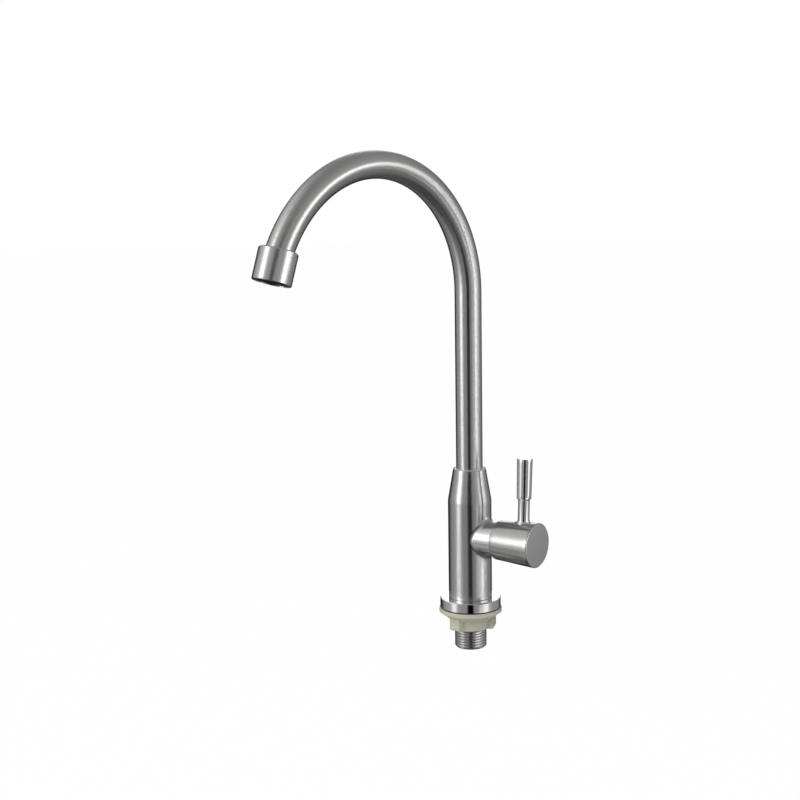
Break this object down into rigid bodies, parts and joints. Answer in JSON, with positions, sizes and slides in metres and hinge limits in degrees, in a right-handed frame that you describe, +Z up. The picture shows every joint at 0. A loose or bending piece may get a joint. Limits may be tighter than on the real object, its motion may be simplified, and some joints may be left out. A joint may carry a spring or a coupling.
{
  "type": "kitchen faucet",
  "caption": "Deck-mounted gooseneck kitchen faucet with a swivelling spout, a side branch with a quarter-turn lever valve, a trim flange and a threaded inlet shank with a plastic back nut.",
  "frame": {"origin": "on the shank axis, in the plane of the trim flange's underside, where the worktop lies", "axes": "+Z up along the shank and body, +X along the valve branch and handle, -Y to the front"},
  "size_m": [0.091, 0.1982, 0.3307],
  "materials": {
    "brushed_steel": "satin brushed stainless steel",
    "polished_steel": "mirror polished",
    "thread_steel": "machined stainless steel",
    "black_rubber": "matt black rubber",
    "cream_plastic": "moulded cream plastic",
    "brass": "machined brass",
    "white_plastic": "moulded low-friction plastic",
    "black_plastic": "moulded black plastic",
    "screen_steel": "stainless mesh",
    "ceramic": "ground alumina",
    "black_steel": "black oxide steel",
    "spring_steel": "spring steel"
  },
  "bodies": {
    "base": {"main_body": "brushed_steel", "inlet_shank": "thread_steel", "base_flange": "polished_steel", "base_gasket": "black_rubber", "spout_bush": "white_plastic", "spout_lock_screw": "black_steel", "cartridge_body": "brass", "valve_seal": "black_rubber", "fixed_disc": "ceramic"},
    "washer": {"nut_washer": "black_rubber"},
    "nut": {"mounting_nut": "cream_plastic"},
    "spout": {"spout_tube": "brushed_steel", "spout_adapter": "brass", "spout_o_rings": "black_rubber", "outlet_housing": "brushed_steel", "outlet_washer": "black_rubber", "outlet_screen": "screen_steel", "aerator_insert": "black_plastic"},
    "handle": {"handle_shell": "brushed_steel", "lever": "polished_steel", "handle_lock_screw": "black_steel", "cartridge_stem": "brass", "moving_disc": "ceramic", "stem_o_rings": "black_rubber", "stem_clip": "spring_steel"}
  },
  "joints": [
    {"name": "spout_turn", "type": "hinge", "parent": "base", "child": "spout", "pos_m": [0, 0, 0.0929], "axis": [0, 0, 1], "continuous": true},
    {"name": "handle_turn", "type": "hinge", "parent": "base", "child": "handle", "pos_m": [0.0375, 0, 0.0475], "axis": [1, 0, 0], "range_deg": [0, 90]},
    {"name": "nut_travel", "type": "slide", "parent": "base", "child": "washer", "axis": [0, 0, -1], "range_m": [0, 0.0127]},
    {"name": "nut_turn", "type": "hinge", "parent": "washer", "child": "nut", "pos_m": [0, 0, -0.0075], "axis": [0, 0, -1], "range_deg": [0, 2520]}
  ],
  "couplings": [
    {"joint": "nut_travel", "follows": "nut_turn", "m_per_rad": 0.00028871}
  ]
}
